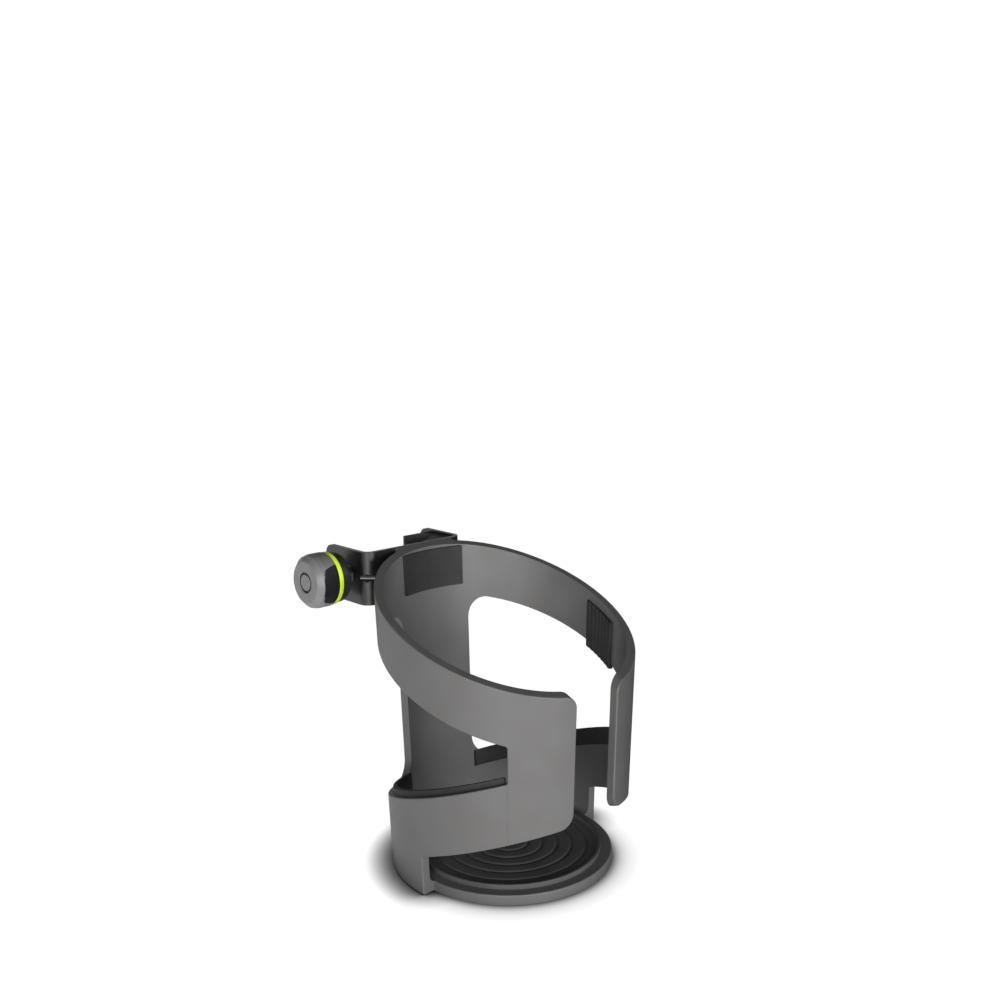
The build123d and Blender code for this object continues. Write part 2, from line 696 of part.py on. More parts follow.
# ---------------------------------------------------------------- knob
def facet_planes(side):
    """Planes of the pocket facets, coming in towards the ring from the front (1) or the back (-1)."""
    planes = []
    for turn in POCKET_TURNS:
        for facet_turn, distance in POCKET_FACETS:
            angle = radians(turn + facet_turn)
            outward = Vector(side * sin(radians(POCKET_SLOPE)), -sin(angle), cos(angle))
            middle = Vector(KNOB_RING_X, AXIS_Y, AXIS_Z)
            foot = middle + Vector(0, -sin(angle), cos(angle)) * distance
            planes.append(Plane(origin=foot, z_dir=outward))
    return planes


RING_FRONT = KNOB_RING_X - RING_WIDTH / 2
RING_BACK = KNOB_RING_X + RING_WIDTH / 2
with BuildPart() as knob_insert:
    with BuildSketch(across_x(INSERT_FRONT)):
        RegularPolygon(INSERT_FLATS / 2, 6, major_radius=False)
    extrude(amount=KNOB_BACK - INSERT_FRONT)
    add(round_bar(SPINDLE_R, SPINDLE_FRONT, KNOB_BACK), mode=Mode.SUBTRACT)
    add(cross_pin(), mode=Mode.SUBTRACT)

with BuildPart() as knob_pin:
    add(cross_pin())

with BuildPart() as knob_front:
    add(
        turned(
            (POCKET_START, 0),
            (POCKET_START, KNOB_R),
            (BODY_START, BODY_R),
            (RING_FRONT, BODY_R),
            (RING_FRONT, 0),
        )
    )
    for facet in facet_planes(1):
        split(bisect_by=facet, keep=Keep.BOTTOM)
    add(
        turned(
            (KNOB_FACE, 0),
            (KNOB_FACE, KNOB_R - KNOB_BEVEL),
            (KNOB_FACE + KNOB_BEVEL, KNOB_R),
            (POCKET_START, KNOB_R),
            (POCKET_START, 0),
        )
    )
    add(round_bar(RING_R, RING_FRONT - FLANGE, RING_FRONT))
    add(round_bar(RING_SEAT_R, RING_FRONT, RING_BACK))
    with BuildSketch(across_x(INSERT_FRONT)):
        RegularPolygon(INSERT_FLATS / 2, 6, major_radius=False)
    extrude(amount=RING_BACK - INSERT_FRONT, mode=Mode.SUBTRACT)
    groove = hollow_bar(GROOVE_INNER_R, GROOVE_OUTER_R, KNOB_FACE, KNOB_FACE + GROOVE_DEPTH)
    add(groove, mode=Mode.SUBTRACT)

with BuildPart() as knob_ring:
    add(hollow_bar(RING_SEAT_R, RING_R, RING_FRONT, RING_BACK))
    fillet(knob_ring.edges().filter_by(GeomType.CIRCLE).sort_by(SortBy.RADIUS)[-2:], radius=RING_ROUND)

with BuildPart() as knob_rear:
    add(
        turned(
            (RING_BACK, 0),
            (RING_BACK, COLLAR_R - COLLAR_EDGE),
            (RING_BACK + COLLAR_EDGE, COLLAR_R),
            (KNOB_BACK - COLLAR_BEVEL, COLLAR_R - COLLAR_TAPER),
            (KNOB_BACK, COLLAR_BEVEL_R),
            (KNOB_BACK, 0),
        )
    )
    for facet in facet_planes(-1):
        split(bisect_by=facet, keep=Keep.BOTTOM)
    with BuildSketch(across_x(RING_BACK)):
        RegularPolygon(INSERT_FLATS / 2, 6, major_radius=False)
    extrude(amount=KNOB_BACK - RING_BACK, mode=Mode.SUBTRACT)

# ---------------------------------------------------------------- one STEP file for each piece
pieces = (
    (cage, "cage", PLASTIC),
    (lower_lip_left, "lower_lip_left", RUBBER),
    (lower_lip_right, "lower_lip_right", RUBBER),
    (side_pad_left, "side_pad_left", RUBBER),
    (side_pad_right, "side_pad_right", RUBBER),
    (rear_pad, "rear_pad", RUBBER),
    (base_mat, "base_mat", RUBBER),
    (clamp_bracket, "clamp_bracket", BLACK_STEEL),
    (fixing_screws, "fixing_screws", ZINC),
    (fixing_washers, "fixing_washers", ZINC),
    (fixing_nuts, "fixing_nuts", ZINC),
    (vee_jaw, "vee_jaw", PLASTIC),
    (vee_liner, "vee_liner", RUBBER),
    (vee_rivets, "vee_rivets", BLACK_STEEL),
    (spindle_bush, "spindle_bush", ZINC),
    (clamp_spindle, "clamp_spindle", ZINC),
    (stub_clip, "stub_clip", BLACK_STEEL),
    (swivel_pad, "swivel_pad", PLASTIC),
    (pad_face, "pad_face", RUBBER),
    (knob_insert, "knob_insert", BRASS),
    (knob_pin, "knob_pin", ZINC),
    (knob_front, "knob_front", PLASTIC),
    (knob_ring, "knob_ring", LIME),
    (knob_rear, "knob_rear", PLASTIC),
)
for piece, name, color in pieces:
    piece.part.label = name
    piece.part.color = Color(*color)
    export_step(piece.part, f"parts/{name}.step")
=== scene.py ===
"""Looks for the clamp-on bottle holder: moulded cage, rubber grips, steel bracket and screw clamp.

Lengths in the shape functions are millimetres in the row frame, and become metres in one place,
when a piece is made.  +Z is up, the front gap faces -Y, and the clamp screw runs along X.
"""

from math import cos, pi, radians, sin, tan

import bpy
import numpy as np
from mathutils import Matrix, Vector


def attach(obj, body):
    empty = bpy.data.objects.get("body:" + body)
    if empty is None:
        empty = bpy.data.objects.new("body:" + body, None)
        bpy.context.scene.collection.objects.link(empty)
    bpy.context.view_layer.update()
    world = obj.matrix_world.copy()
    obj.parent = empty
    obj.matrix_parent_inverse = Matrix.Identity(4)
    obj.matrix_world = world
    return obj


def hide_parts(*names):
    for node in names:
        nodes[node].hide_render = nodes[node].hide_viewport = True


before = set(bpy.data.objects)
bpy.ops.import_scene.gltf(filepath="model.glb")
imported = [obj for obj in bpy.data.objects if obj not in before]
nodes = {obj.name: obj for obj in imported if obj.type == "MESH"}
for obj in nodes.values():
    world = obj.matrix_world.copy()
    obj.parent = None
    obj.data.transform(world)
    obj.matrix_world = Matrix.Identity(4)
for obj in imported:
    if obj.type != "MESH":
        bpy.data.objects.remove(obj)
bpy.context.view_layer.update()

MM = 0.001
CREASE = 32                             # an edge sharper than this many degrees stays an edge
AXIS_Y, AXIS_Z = 66.0, 112.8            # the clamp screw's axis
KNOB_FACE, KNOB_BACK = -51.6, -35.3
KNOB_R, KNOB_BEVEL = 11.0, 2.2
RIM_X = -49.1                           # back edge of the knob's rim, where the pockets start
RING_FRONT, RING_MIDDLE, RING_BACK = -41.9, -40.9, -39.9
RING_SEAT_R, RING_R, BODY_R = 8.6, 11.2, 11.4
CONE_RADIUS, CONE_SLOPE = 48.13, 0.0384  # outside of the cage wall: radius = first + second * z
WALL = 3.6
LOWER_TOP, LOWER_SLOPE = 39.4, -0.346   # a band edge lies in the plane z = first + second * y
UPPER_BOTTOM, UPPER_TOP, UPPER_SLOPE = 81.2, 103.2, 0.396


# ---------------------------------------------------------------- materials
NOISE_SPAN = 0.3, 0.7                   # nearly all of a noise pattern's values lie between these


def linear(shade):
    """An sRGB hex colour as linear RGBA."""
    parts = np.array([int(shade[i : i + 2], 16) for i in (0, 2, 4)]) / 255
    parts = np.where(parts <= 0.04045, parts / 12.92, ((parts + 0.055) / 1.055) ** 2.4)
    return (*parts.tolist(), 1.0)


def add(tree, kind, sockets=None, wires=None, **settings):
    """Adds one shader node with its settings, socket values and wires from other sockets."""
    made = tree.nodes.new("ShaderNode" + kind)
    for name, value in settings.items():
        setattr(made, name, value)
    for name, value in (sockets or {}).items():
        made.inputs[name].default_value = value
    for name, source in (wires or {}).items():
        tree.links.new(source, made.inputs[name])
    return made


def finish_of(
    name, light, dark, patch_mm, grain_mm, grain_height_mm, rough, painted_shade=None, **shader
):
    """Material with cloudy colour between two shades, uneven gloss and a fine surface grain.

    patch_mm is the size of the clouds, grain_mm the spacing of the grain and grain_height_mm its
    depth.  rough is (smoothest, roughest).  The optional colour after rough is painted shade, laid
    where the piece's own attribute of the same name is 1.  The rest are sockets of the shader.
    """
    material = bpy.data.materials.new(name)
    material.use_nodes = True
    tree = material.node_tree
    tree.nodes.clear()
    place = add(tree, "TexCoord").outputs["Object"]
    clouds = add(
        tree, "TexNoise", {"Scale": 1 / (patch_mm * MM), "Detail": 4.0}, {"Vector": place}
    )
    grain = add(
        tree,
        "TexNoise",
        {"Scale": 1 / (grain_mm * MM), "Detail": 2.0, "Roughness": 0.6},
        {"Vector": place},
    )
    shades = add(tree, "ValToRGB", None, {"Fac": clouds.outputs["Fac"]})
    for element, position, shade in zip(shades.color_ramp.elements, NOISE_SPAN, (dark, light)):
        element.position = position
        element.color = linear(shade)
    colour = shades.outputs["Color"]
    # painted shade: the colour turns to the shade colour where the piece's attribute is 1
    if painted_shade:
        painted_shade_mask = add(tree, "Attribute", attribute_name="painted_shade").outputs["Fac"]
        mixed = add(
            tree, "MixRGB", {"Color2": linear(painted_shade)}, {"Fac": painted_shade_mask, "Color1": colour}
        )
        colour = mixed.outputs["Color"]
    gloss = add(
        tree,
        "MapRange",
        dict(zip(("From Min", "From Max", "To Min", "To Max"), (*NOISE_SPAN, *rough))),
        {"Value": grain.outputs["Fac"]},
    )
    bump = add(
        tree,
        "Bump",
        {"Strength": 1.0, "Distance": grain_height_mm * MM},
        {"Height": grain.outputs["Fac"]},
    )
    skin = add(
        tree,
        "BsdfPrincipled",
        {key.replace("_", " ").title().replace("Ior", "IOR"): v for key, v in shader.items()},
        {
            "Base Color": colour,
            "Roughness": gloss.outputs["Result"],
            "Normal": bump.outputs["Normal"],
        },
    )
    add(tree, "OutputMaterial", None, {"Surface": skin.outputs["BSDF"]})
    return material


# Glass-filled nylon from a spark-eroded mould: mid grey, satin, with a fine even grain.
# The real grain is about 0.1 mm; it is drawn at 0.45 mm so that it shows.
cage_nylon = finish_of(
    "glass_filled_nylon_spark_eroded", "616060", "5c5b5a", patch_mm=14, grain_mm=0.45,
    grain_height_mm=0.012, rough=(0.40, 0.52), ior=1.53,
)
# The knob is the same nylon from a smoother mould, a little lighter and glossier.  Its pockets
# and the groove in its face are coloured near black as painted shade of those recesses.
knob_nylon = finish_of(
    "glass_filled_nylon_knob", "7d7d7e", "747475", patch_mm=6, grain_mm=0.4,
    grain_height_mm=0.010, rough=(0.34, 0.44), painted_shade="1d1d20", ior=1.53,
)
# Black nylon for the jaw, the swivel pad and the collar at the back of the knob.
jaw_nylon = finish_of(
    "black_nylon_moulded", "2b2b2b", "242424", patch_mm=8, grain_mm=0.4,
    grain_height_mm=0.012, rough=(0.42, 0.52), ior=1.53,
)
# Thermoplastic elastomer in a bright yellow-green, moulded over the knob's neck, slightly glossy.
ring_elastomer = finish_of(
    "elastomer_yellow_green", "dcfb4a", "d2f43a", patch_mm=5, grain_mm=0.5,
    grain_height_mm=0.006, rough=(0.30, 0.38), ior=1.5,
)
# EPDM rubber, press-moulded: near black, matt, with a faint bloom in patches.
grip_rubber = finish_of(
    "epdm_rubber_moulded", "262626", "1c1c1c", patch_mm=9, grain_mm=0.5,
    grain_height_mm=0.02, rough=(0.62, 0.80), ior=1.52,
)
# Mat rubber, a little greyer where it is rubbed.
mat_rubber = finish_of(
    "epdm_rubber_mat", "525252", "464646", patch_mm=12, grain_mm=0.5,
    grain_height_mm=0.02, rough=(0.58, 0.75), ior=1.52,
)
# Sheet steel under black powder coat: satin, with a clear top layer over slight orange peel.
powder_coat = finish_of(
    "powder_coated_steel", "161616", "101010", patch_mm=20, grain_mm=1.3,
    grain_height_mm=0.015, rough=(0.30, 0.38), ior=1.5, coat_weight=0.5, coat_roughness=0.3,
)
# Zinc-plated steel, blue-white passivated: metal with a soft cloudy sheen.
zinc_plate = finish_of(
    "zinc_plated_steel", "c4c8ca", "a9adb0", patch_mm=3, grain_mm=0.35,
    grain_height_mm=0.004, rough=(0.24, 0.40), metallic=1.0,
)
# Free-cutting brass, turned: warm metal with fine tool marks.
turned_brass = finish_of(
    "turned_brass", "cfae62", "bb984c", patch_mm=3, grain_mm=0.3,
    grain_height_mm=0.004, rough=(0.25, 0.38), metallic=1.0,
)
# Spring steel, oil-blackened, for the clip.
spring_steel = finish_of(
    "blackened_spring_steel", "4a4a4c", "38383a", patch_mm=3, grain_mm=0.3,
    grain_height_mm=0.004, rough=(0.32, 0.45), metallic=1.0,
)

node_finish = {
    cage_nylon: ("cage",),
    jaw_nylon: ("vee_jaw", "swivel_pad"),
    grip_rubber: ("rear_pad", "vee_liner"),
    powder_coat: ("clamp_bracket", "vee_rivets"),
    zinc_plate: ("fixing_screws", "fixing_washers", "fixing_nuts", "spindle_bush", "knob_pin"),
    turned_brass: ("knob_insert",),
    spring_steel: ("stub_clip",),
    ring_elastomer: ("knob_ring",),
}
for material, names in node_finish.items():
    for name in names:
        for slot in nodes[name].material_slots:
            slot.material = material


# ---------------------------------------------------------------- surfaces
def make_piece(name, grid, material, body, replaced, painted_shade=None):
    """A piece from a grid of points in mm, grid[i, j] = point j of section i.

    Each section's last point joins on to its first, and a fan to its middle closes the first and
    the last section.  Faces are turned to point outwards by the sign of the volume.  replaced
    names the nodes that the piece stands for.  The last argument, a value for each point, marks
    where painted shade goes and becomes the attribute of that name.
    """
    rows, columns = grid.shape[:2]
    index = np.arange(rows * columns).reshape(rows, columns)
    index = np.concatenate([index, index[:, :1]], axis=1)
    quads = np.stack([index[:-1, :-1], index[1:, :-1], index[1:, 1:], index[:-1, 1:]], axis=-1)
    faces = quads.reshape(-1, 4).tolist()
    points = grid.reshape(-1, 3)
    for row, flip in ((0, False), (rows - 1, True)):
        middle = len(points)
        points = np.vstack([points, grid[row].mean(axis=0)])
        a, b = index[row, :-1], index[row, 1:]
        fan = np.stack([a, b, np.full_like(a, middle)], axis=-1)
        faces += (fan[:, ::-1] if flip else fan).tolist()
    corners = quads.reshape(-1, 4)
    p0, p1, p2 = points[corners[:, 0]], points[corners[:, 1]], points[corners[:, 2]]
    if (np.cross(p1 - p0, p2 - p0) * (p0 - points.mean(axis=0))).sum() < 0:
        faces = [face[::-1] for face in faces]
    mesh = bpy.data.meshes.new(name)
    mesh.from_pydata((points * MM).tolist(), [], faces)
    mesh.validate()
    mesh.shade_smooth()
    mesh.set_sharp_from_angle(angle=radians(CREASE))
    mesh.materials.append(material)
    if painted_shade is not None:
        values = np.append(painted_shade.ravel(), (0.0, 0.0))  # the two end middles get no painted shade
        mesh.attributes.new("painted_shade", "FLOAT", "POINT").data.foreach_set("value", values)
    piece = bpy.data.objects.new(name, mesh)
    bpy.context.scene.collection.objects.link(piece)
    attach(piece, body)
    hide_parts(*replaced)
    return piece


def finely(corners, step, rounding):
    """Profile through corner points with each inner corner rounded, then cut into short steps.

    A corner's rounding is the quadratic curve between the two points that lie `rounding` before
    and after it, or 0.45 of the shorter side where that is less.
    """
    corners = np.array(corners, float)
    out = [corners[:1]]
    for before, corner, after in zip(corners[:-2], corners[1:-1], corners[2:]):
        length_in, length_out = np.linalg.norm(corner - before), np.linalg.norm(after - corner)
        reach = min(rounding, 0.45 * min(length_in, length_out))
        start = corner + reach * (before - corner) / length_in
        end = corner + reach * (after - corner) / length_out
        t = np.linspace(0, 1, 5)[:, None]
        out.append((1 - t) ** 2 * start + 2 * t * (1 - t) * corner + t**2 * end)
    out.append(corners[-1:])
    line = np.vstack(out)
    pieces = []
    for a, b in zip(line[:-1], line[1:]):
        count = max(1, int(np.ceil(np.linalg.norm(b - a) / step)))
        pieces.append(a + (b - a) * (np.arange(count) / count)[:, None])
    return np.vstack([*pieces, line[-1:]])


def all_round(segments):
    """Angles of a full turn, as one row."""
    return np.linspace(0, 2 * pi, segments, endpoint=False)[None, :]


def about_screw(x, radius, angle):
    """Points at x, at a radius and an angle about the screw axis: 0 is +Z, 90 degrees is -Y."""
    x, radius, angle = np.broadcast_arrays(x, radius, angle)
    return np.stack([x, AXIS_Y - radius * np.sin(angle), AXIS_Z + radius * np.cos(angle)], axis=-1)


def turned(profile, segments, limit=None):
    """Grid of a turned shape: each (x, radius) of the profile is carried round the screw axis.

    limit(x, angle), where given, is the largest radius allowed there, blended in over LIMIT_BLEND.
    """
    angle = all_round(segments)
    x, radius = profile[:, :1], profile[:, 1:]
    if limit is not None:
        radius = soft_least(radius, limit(x, angle), LIMIT_BLEND)
    return about_screw(x, radius, angle)


def soft_least(a, b, blend):
    """The smaller of a and b, with the edge between them rounded over the blend length."""
    near = np.clip(0.5 + 0.5 * (b - a) / blend, 0, 1)
    return b * (1 - near) + a * near - blend * near * (1 - near) / 2


# ---------------------------------------------------------------- knob
KNOB_SEGMENTS = 288
PROFILE_STEP = 0.35
LIMIT_BLEND = 0.25                      # rounding of a pocket's edges
POCKETS = np.radians((95.0, -85.0))
FACETS = ((0.0, 9.3), (23.0, 10.1), (-23.0, 10.1))    # turn in degrees and distance at the ring
SLOPE = tan(radians(7.0))
NO_LIMIT = 99.0                         # a radius that no profile reaches
BORE_R = 5.3                            # hole for the insert
GROOVE_INNER_R, GROOVE_OUTER_R, GROOVE_DEPTH, GROOVE_DRAFT = 3.4, 4.4, 0.8, 0.05
SWELL = 1.5                             # length over which the rim widens to the body
FLANGE = 0.6                            # round flange that closes the pockets beside the ring
STEP_RUN = 0.04                         # run along the screw of a square step in the profile
POCKET_MARGIN = 0.02                    # the pockets stop this far short of the rim and flange
COLLAR_R, COLLAR_EDGE, COLLAR_TAPER = 10.8, 0.4, 0.3
COLLAR_BEVEL, COLLAR_BEVEL_R = 1.2, 9.7


def pocket_limit(x, angle):
    """Distance to the nearest pocket facet: flats that come in to the ring, three to a pocket."""
    nearest = np.full(np.broadcast(x, angle).shape, NO_LIMIT)
    for pocket in POCKETS:
        for turn, distance in FACETS:
            off = angle - pocket - radians(turn)
            facing = np.maximum(np.cos(off), 0.05)
            flat = (distance + SLOPE * np.abs(x - RING_MIDDLE)) / facing
            nearest = np.minimum(nearest, flat)
    return nearest


def front_limit(x, angle):
    """The pockets lie between the rim and a thin round flange beside the ring."""
    inside = (x > RIM_X + POCKET_MARGIN) & (x < RING_FRONT - FLANGE - POCKET_MARGIN)
    return np.where(inside, pocket_limit(x, angle), NO_LIMIT)


front_profile = finely(
    [
        (KNOB_FACE, 0.1),
        (KNOB_FACE, GROOVE_INNER_R),
        (KNOB_FACE + GROOVE_DEPTH, GROOVE_INNER_R + GROOVE_DRAFT),
        (KNOB_FACE + GROOVE_DEPTH, GROOVE_OUTER_R - GROOVE_DRAFT),
        (KNOB_FACE, GROOVE_OUTER_R),
        (KNOB_FACE, KNOB_R - KNOB_BEVEL),
        (KNOB_FACE + KNOB_BEVEL, KNOB_R),
        (RIM_X, KNOB_R),
        (RIM_X + STEP_RUN, KNOB_R),
        (RIM_X + SWELL, BODY_R),
        (RING_FRONT - FLANGE - STEP_RUN, BODY_R),
        (RING_FRONT - FLANGE, RING_R),
        (RING_FRONT, RING_R),
        (RING_FRONT, RING_SEAT_R),
        (RING_BACK, RING_SEAT_R),
        (RING_BACK, BORE_R),
    ],
    PROFILE_STEP,
    rounding=0.3,
)
front_x, front_r = front_profile[:, :1], front_profile[:, 1:]
pocket_floor = pocket_limit(front_x, all_round(KNOB_SEGMENTS))
# the pockets and the groove in the knob's face get painted shade
in_pocket = (front_x > RIM_X + POCKET_MARGIN) & (pocket_floor < front_r - 0.05)
in_groove = (front_x > KNOB_FACE + 0.3) & (front_r < GROOVE_OUTER_R + 0.1)
make_piece(
    "knob_front_moulding", turned(front_profile, KNOB_SEGMENTS, front_limit), knob_nylon,
    "knob", ("knob_front",), painted_shade=(in_pocket | in_groove).astype(float),
)
rear_profile = finely(
    [
        (RING_BACK, BORE_R),
        (RING_BACK, COLLAR_R - COLLAR_EDGE),
        (RING_BACK + COLLAR_EDGE, COLLAR_R),
        (KNOB_BACK - COLLAR_BEVEL, COLLAR_R - COLLAR_TAPER),
        (KNOB_BACK, COLLAR_BEVEL_R),
        (KNOB_BACK, BORE_R),
    ],
    PROFILE_STEP,
    rounding=0.35,
)
make_piece(
    "knob_collar", turned(rear_profile, KNOB_SEGMENTS, pocket_limit), jaw_nylon,
    "knob", ("knob_rear",),
)

# ---------------------------------------------------------------- threaded spindle
PITCH = 1.0
THREAD_R, THREAD_DEPTH = 2.98, 0.61
THREAD_START, THREAD_END = -45.0, -2.3
STUB_R, CLIP_SEAT_R = 1.7, 1.2          # the plain end in the swivel pad, and its groove
SPINDLE_SEGMENTS = 56


def thread_grid(start, end, per_pitch=12):
    """Screw thread: radius = crest - depth * groove(phase), phase = x / pitch - angle / turn.

    groove is 1.25 - 3 * |phase - 1/2| held between 0 and 1: a vee with a flat root and crest.  The
    thread runs out to a plain end over its last pitch at both ends.
    """
    x = np.linspace(start, end, int((end - start) / PITCH * per_pitch))[:, None]
    angle = all_round(SPINDLE_SEGMENTS)
    phase = (x / PITCH - angle / (2 * pi)) % 1.0
    groove = np.clip(1.25 - np.abs(phase - 0.5) * 3.0, 0, 1)
    runout = np.clip(np.minimum(x - start, end - x) / PITCH, 0, 1)
    return about_screw(x, THREAD_R - THREAD_DEPTH * groove * runout, angle)


def plain_rows(corners):
    """Short turned length that joins on to the thread."""
    return turned(finely(corners, 0.4, rounding=0.2), SPINDLE_SEGMENTS)


knob_end = [(-45.6, 0.5), (-45.6, 2.5), (-45.1, THREAD_R)]
pad_end = [
    (-2.2, THREAD_R), (-1.5, 2.9), (-1.5, STUB_R), (0.5, STUB_R), (0.5, CLIP_SEAT_R),
    (1.0, CLIP_SEAT_R), (1.0, STUB_R), (1.2, 1.5), (1.2, 0.3),
]
spindle = np.concatenate(
    [plain_rows(knob_end), thread_grid(THREAD_START, THREAD_END), plain_rows(pad_end)]
)
make_piece("threaded_spindle", spindle, zinc_plate, "knob", ("clamp_spindle",))

# ---------------------------------------------------------------- rubber face of the swivel pad
FACE_BACK, FACE_FRONT, FACE_GROOVE, FACE_R = 2.1, 3.7, 3.3, 5.6

face_corners = [(FACE_BACK, 0.3), (FACE_BACK, FACE_R), (3.4, FACE_R), (FACE_FRONT, 5.2)]
for outer in (4.5, 2.5):
    face_corners += [
        (FACE_FRONT, outer), (FACE_GROOVE, outer - 0.3), (FACE_GROOVE, outer - 1.0),
        (FACE_FRONT, outer - 1.3),
    ]
face_corners.append((FACE_FRONT, 0.2))
make_piece(
    "ribbed_pad_face", turned(finely(face_corners, 0.3, rounding=0.15), 96), grip_rubber,
    "pressure_shoe", ("pad_face",),
)

# ---------------------------------------------------------------- mat in the floor
MAT_R, MAT_BOTTOM, MAT_TOP, MAT_RIM_TOP, MAT_GROOVE = 38.0, 3.3, 5.0, 5.9, 4.5
MAT_RINGS, MAT_RING_SPACING = 5, 6.0


def turned_about_z(profile, segments):
    """Each (radius, z) of the profile carried round Z."""
    radius, z, angle = np.broadcast_arrays(profile[:, :1], profile[:, 1:], all_round(segments))
    return np.stack([radius * np.cos(angle), radius * np.sin(angle), z], axis=-1)


mat_corners = [
    (0.3, MAT_BOTTOM), (MAT_R, MAT_BOTTOM), (MAT_R, MAT_RIM_TOP), (MAT_R - 1.4, MAT_RIM_TOP),
    (MAT_R - 2.3, MAT_TOP),
]
for ring in range(MAT_RINGS):
    outer = MAT_R - 5.0 - MAT_RING_SPACING * ring
    mat_corners += [
        (outer, MAT_TOP), (outer - 0.5, MAT_GROOVE), (outer - 1.3, MAT_GROOVE),
        (outer - 1.8, MAT_TOP),
    ]
mat_corners.append((0.3, MAT_TOP))
make_piece(
    "grooved_mat", turned_about_z(finely(mat_corners, 1.2, rounding=0.3), 192), mat_rubber,
    "holder", ("base_mat",),
)


# ---------------------------------------------------------------- lips and pads on the bands
def on_wall(around, inset, height, slope):
    """Point inset from the outside of the cage wall where the plane z = height + slope * y cuts it.

    With radius = cone radius + cone slope * z - inset and y = -radius * cos(around), z follows in
    one step.  around is in radians from -Y towards +X.
    """
    rise = slope * np.cos(around)
    z = (height - rise * (CONE_RADIUS - inset)) / (1 + rise * CONE_SLOPE)
    radius = CONE_RADIUS + CONE_SLOPE * z - inset
    return np.stack([radius * np.sin(around), -radius * np.cos(around), z], axis=-1)


STRIP_ROUNDING, RIB_DEPTH = 0.5, 0.4


def band_strip(start, end, side, outer_inset, inner_inset, low, high, slope, ribs=0):
    """Rubber strip on a band, carried round the wall and rounded off at both ends.

    Its section is a rounded rectangle between two insets and two tilted planes.  A point of the
    section is half the width (or height) times the cosine (or sine) of its turn, with the
    straight sides drawn out of the round corners.  ribs is the number of shallow upright grooves
    in its inner face.
    """
    count = 121 + 40 * ribs
    along = np.linspace(0, 1, count)
    crowded = (1 - np.cos(pi * along)) / 2
    along = crowded * 0.35 + along * 0.65          # sections lie closer together at the ends
    around = np.radians(start + (end - start) * along)
    from_end = np.minimum(along, 1 - along) * radians(end - start) * CONE_RADIUS
    into_round = np.clip(STRIP_ROUNDING - from_end, 0, None)
    pinch = STRIP_ROUNDING - np.sqrt(np.clip(STRIP_ROUNDING**2 - into_round**2, 0, None))
    turn = np.linspace(0, 2 * pi, 48, endpoint=False)
    across, up = np.cos(turn), np.sin(turn)
    half_w, half_h = (inner_inset - outer_inset) / 2, (high - low) / 2
    straight_w, straight_h = half_w - STRIP_ROUNDING, half_h - STRIP_ROUNDING
    ring_w = np.clip(across * 1.6, -1, 1) * straight_w + across * STRIP_ROUNDING
    ring_h = np.clip(up * 1.6, -1, 1) * straight_h + up * STRIP_ROUNDING
    shrink_w = (1 - pinch / half_w)[:, None]
    shrink_h = (1 - pinch / half_h)[:, None]
    inset = (inner_inset + outer_inset) / 2 + ring_w[None, :] * shrink_w
    if ribs:
        wave = np.clip(np.cos(along * ribs * 2 * pi) * 2 - 1, 0, 1)[:, None]
        inset = inset - RIB_DEPTH * wave * np.clip(across, 0, 1)[None, :]
    height = (high + low) / 2 + ring_h[None, :] * shrink_h
    return on_wall(side * around[:, None], inset, height, slope)


LIP_SPAN, PAD_SPAN = (43.6, 156.8), (70.6, 90.9)    # degrees round the wall from the front
LIP_INSETS, PAD_INSETS = (2.05, WALL + 0.6), (2.45, WALL + 1.2)
LIP_HEIGHTS = LOWER_TOP - 5, LOWER_TOP + 2.6
PAD_HEIGHTS = UPPER_BOTTOM - 2.2, UPPER_TOP - 4
PAD_RIBS = 7

for side, word in ((-1, "left"), (1, "right")):
    lip = band_strip(*LIP_SPAN, side, *LIP_INSETS, *LIP_HEIGHTS, LOWER_SLOPE)
    make_piece(f"lip_strip_{word}", lip, grip_rubber, "holder", (f"lower_lip_{word}",))
    pad = band_strip(*PAD_SPAN, side, *PAD_INSETS, *PAD_HEIGHTS, UPPER_SLOPE, PAD_RIBS)
    make_piece(f"grip_pad_{word}", pad, grip_rubber, "holder", (f"side_pad_{word}",))


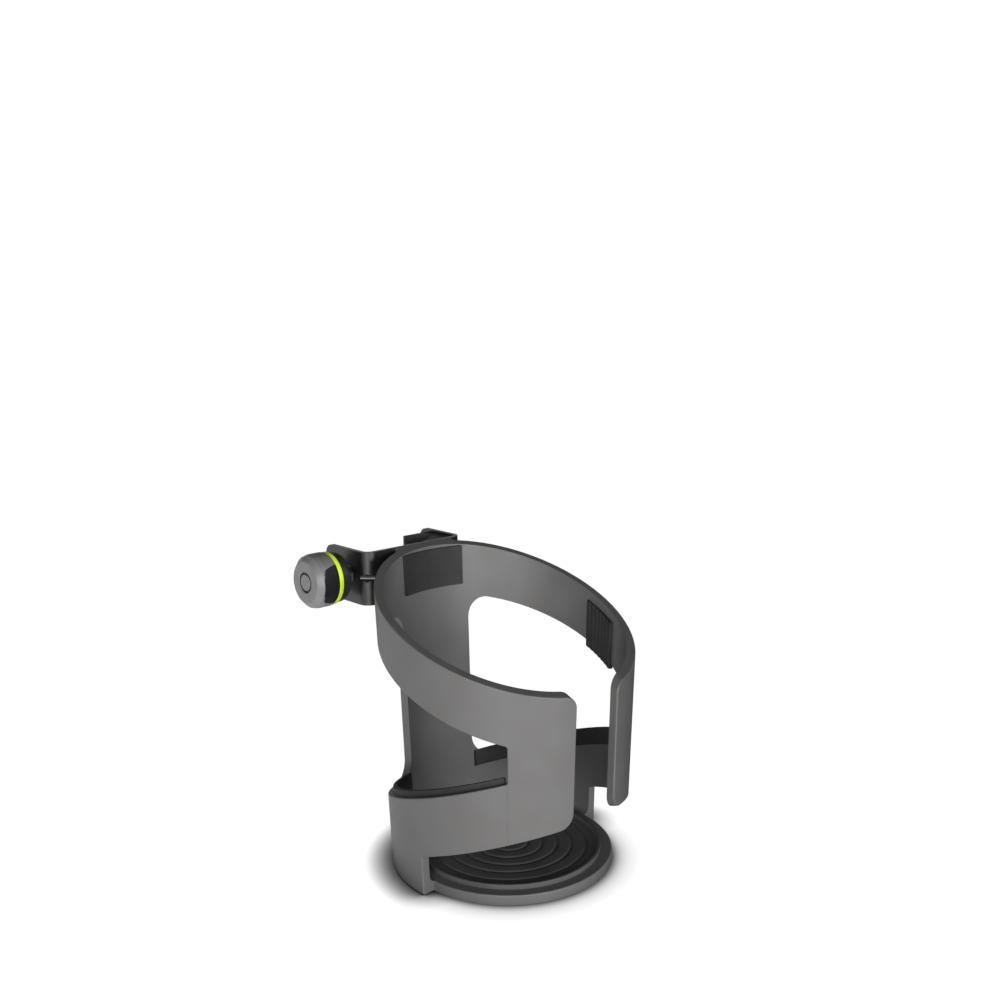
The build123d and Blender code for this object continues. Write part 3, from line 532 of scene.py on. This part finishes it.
# ---------------------------------------------------------------- floor, lights and camera
def studio_floor():
    """Plain white sweep: a flat round floor, 40 m in radius, that the object stands on.

    The camera sees it as even white glow with a painted contact shadow: the glow darkens by
    occlusion close to the foot of the object.  The object sees it lit by the overhead light, with
    painted shade in its colour: light at -X, near black at +X and darker close to the object.
    """
    radius, sides = 40.0, 64
    turn = np.linspace(0, 2 * pi, sides, endpoint=False)
    rim = np.stack([radius * np.cos(turn), radius * np.sin(turn), 0 * turn], axis=-1)
    mesh = bpy.data.meshes.new("studio_floor")
    mesh.from_pydata(rim.tolist(), [], [tuple(range(sides))])
    floor = bpy.data.objects.new("studio_floor", mesh)
    bpy.context.scene.collection.objects.link(floor)
    material = bpy.data.materials.new("white_matt_sweep")
    material.use_nodes = True
    tree = material.node_tree
    tree.nodes.clear()
    # painted contact shadow: occlusion darkens the white glow that the camera sees
    open_sky = add(tree, "AmbientOcclusion", {"Distance": 0.012}, samples=32).outputs["AO"]
    darker = add(tree, "Math", {1: 4.0}, {0: open_sky}, operation="POWER")
    painted_contact_shadow = darker.outputs["Value"]
    white = add(tree, "Emission", {"Strength": 1.02}, {"Color": painted_contact_shadow})
    # painted shade: the colour the object sees fades from light at -X to near black at +X, and is
    # darker close to the object
    place = add(tree, "TexCoord").outputs["Object"]
    side = add(tree, "SeparateXYZ", None, {"Vector": place}).outputs["X"]
    shade = add(
        tree,
        "MapRange",
        {"From Min": -0.02, "From Max": 0.08, "To Min": 0.85, "To Max": 0.04},
        {"Value": side},
    )
    near = add(tree, "Math", None, {0: shade.outputs["Result"], 1: painted_contact_shadow}, operation="MULTIPLY")
    grey = add(tree, "BsdfDiffuse", None, {"Color": near.outputs["Value"]})
    seen = add(tree, "LightPath").outputs["Is Camera Ray"]
    both = add(tree, "MixShader", None, {"Fac": seen})
    tree.links.new(grey.outputs["BSDF"], both.inputs[1])
    tree.links.new(white.outputs["Emission"], both.inputs[2])
    add(tree, "OutputMaterial", None, {"Surface": both.outputs["Shader"]})
    mesh.materials.append(material)
    return floor


def softbox(name, position, target, size, power):
    """Square area light that faces a target point."""
    lamp = bpy.data.lights.new(name, "AREA")
    lamp.shape = "SQUARE"
    lamp.size = size
    lamp.energy = power
    light = bpy.data.objects.new(name, lamp)
    bpy.context.scene.collection.objects.link(light)
    light.location = position
    light.rotation_euler = (Vector(target) - Vector(position)).to_track_quat("-Z", "Y").to_euler()


def overhead_light(floor, strength):
    """Very soft light from straight above that lights the sweep alone."""
    lamp = bpy.data.lights.new("overhead_light", "SUN")
    lamp.angle = radians(100)
    lamp.energy = strength
    light = bpy.data.objects.new("overhead_light", lamp)
    bpy.context.scene.collection.objects.link(light)
    lit = bpy.data.collections.new("overhead_lights")
    lit.objects.link(floor)
    light.light_linking.receiver_collection = lit


def studio_world():
    """Light tent: brightest near the horizon at +Y and -Y and dark overhead.

    Its strength is 0.9 * y**2 + 0.06 for a direction's y.  The camera sees it as plain white.
    """
    world = bpy.data.worlds.new("light_tent")
    world.use_nodes = True
    tree = world.node_tree
    tree.nodes.clear()
    way = add(tree, "TexCoord").outputs["Generated"]
    parts = add(tree, "SeparateXYZ", None, {"Vector": way})
    ramp = add(tree, "ValToRGB", None, {"Fac": parts.outputs["Z"]})
    for element, height, grey in zip(ramp.color_ramp.elements, (0.10, 0.45), (1.0, 0.03)):
        element.position = height
        element.color = (grey, grey, grey, 1.0)
    depth = add(tree, "Math", {1: 2.0}, {0: parts.outputs["Y"]}, operation="POWER")
    power = add(
        tree, "Math", {1: 0.9, 2: 0.06}, {0: depth.outputs["Value"]}, operation="MULTIPLY_ADD"
    )
    tent = add(
        tree,
        "Background",
        None,
        {"Color": ramp.outputs["Color"], "Strength": power.outputs["Value"]},
    )
    paper = add(tree, "Background", {"Color": (1, 1, 1, 1), "Strength": 1.05})
    seen = add(tree, "LightPath").outputs["Is Camera Ray"]
    both = add(tree, "MixShader", None, {"Fac": seen})
    tree.links.new(tent.outputs["Background"], both.inputs[1])
    tree.links.new(paper.outputs["Background"], both.inputs[2])
    add(tree, "OutputWorld", None, {"Surface": both.outputs["Shader"]})
    bpy.context.scene.world = world


def camera():
    """Camera a little above the holder, at its left front, with a small roll about its view."""
    forward = Vector((0.66182, 0.72895, -0.17499)).normalized()
    right = forward.cross(Vector((0, 0, 1))).normalized()
    up = right.cross(forward)
    roll = -0.0115
    rolled_right = right * cos(roll) + up * sin(roll)
    rolled_up = up * cos(roll) - right * sin(roll)
    lens = bpy.data.cameras.new("product_camera")
    lens.lens = 41.81
    lens.sensor_width = 36.0
    lens.clip_start = 0.01
    eye = bpy.data.objects.new("product_camera", lens)
    bpy.context.scene.collection.objects.link(eye)
    turn = Matrix((rolled_right, rolled_up, -forward)).transposed().to_4x4()
    eye.matrix_world = Matrix.Translation((-0.30412, -0.33189, 0.22898)) @ turn
    bpy.context.scene.camera = eye


floor = studio_floor()
studio_world()
softbox("key_softbox", (-1.05, -0.92, 0.32), (0, 0, 0.06), 0.7, 13)
softbox("front_softbox", (-0.12, -1.40, 0.14), (0, 0, 0.04), 0.5, 13)
overhead_light(floor, 2.4)
bpy.context.scene.view_settings.view_transform = "Standard"
camera()
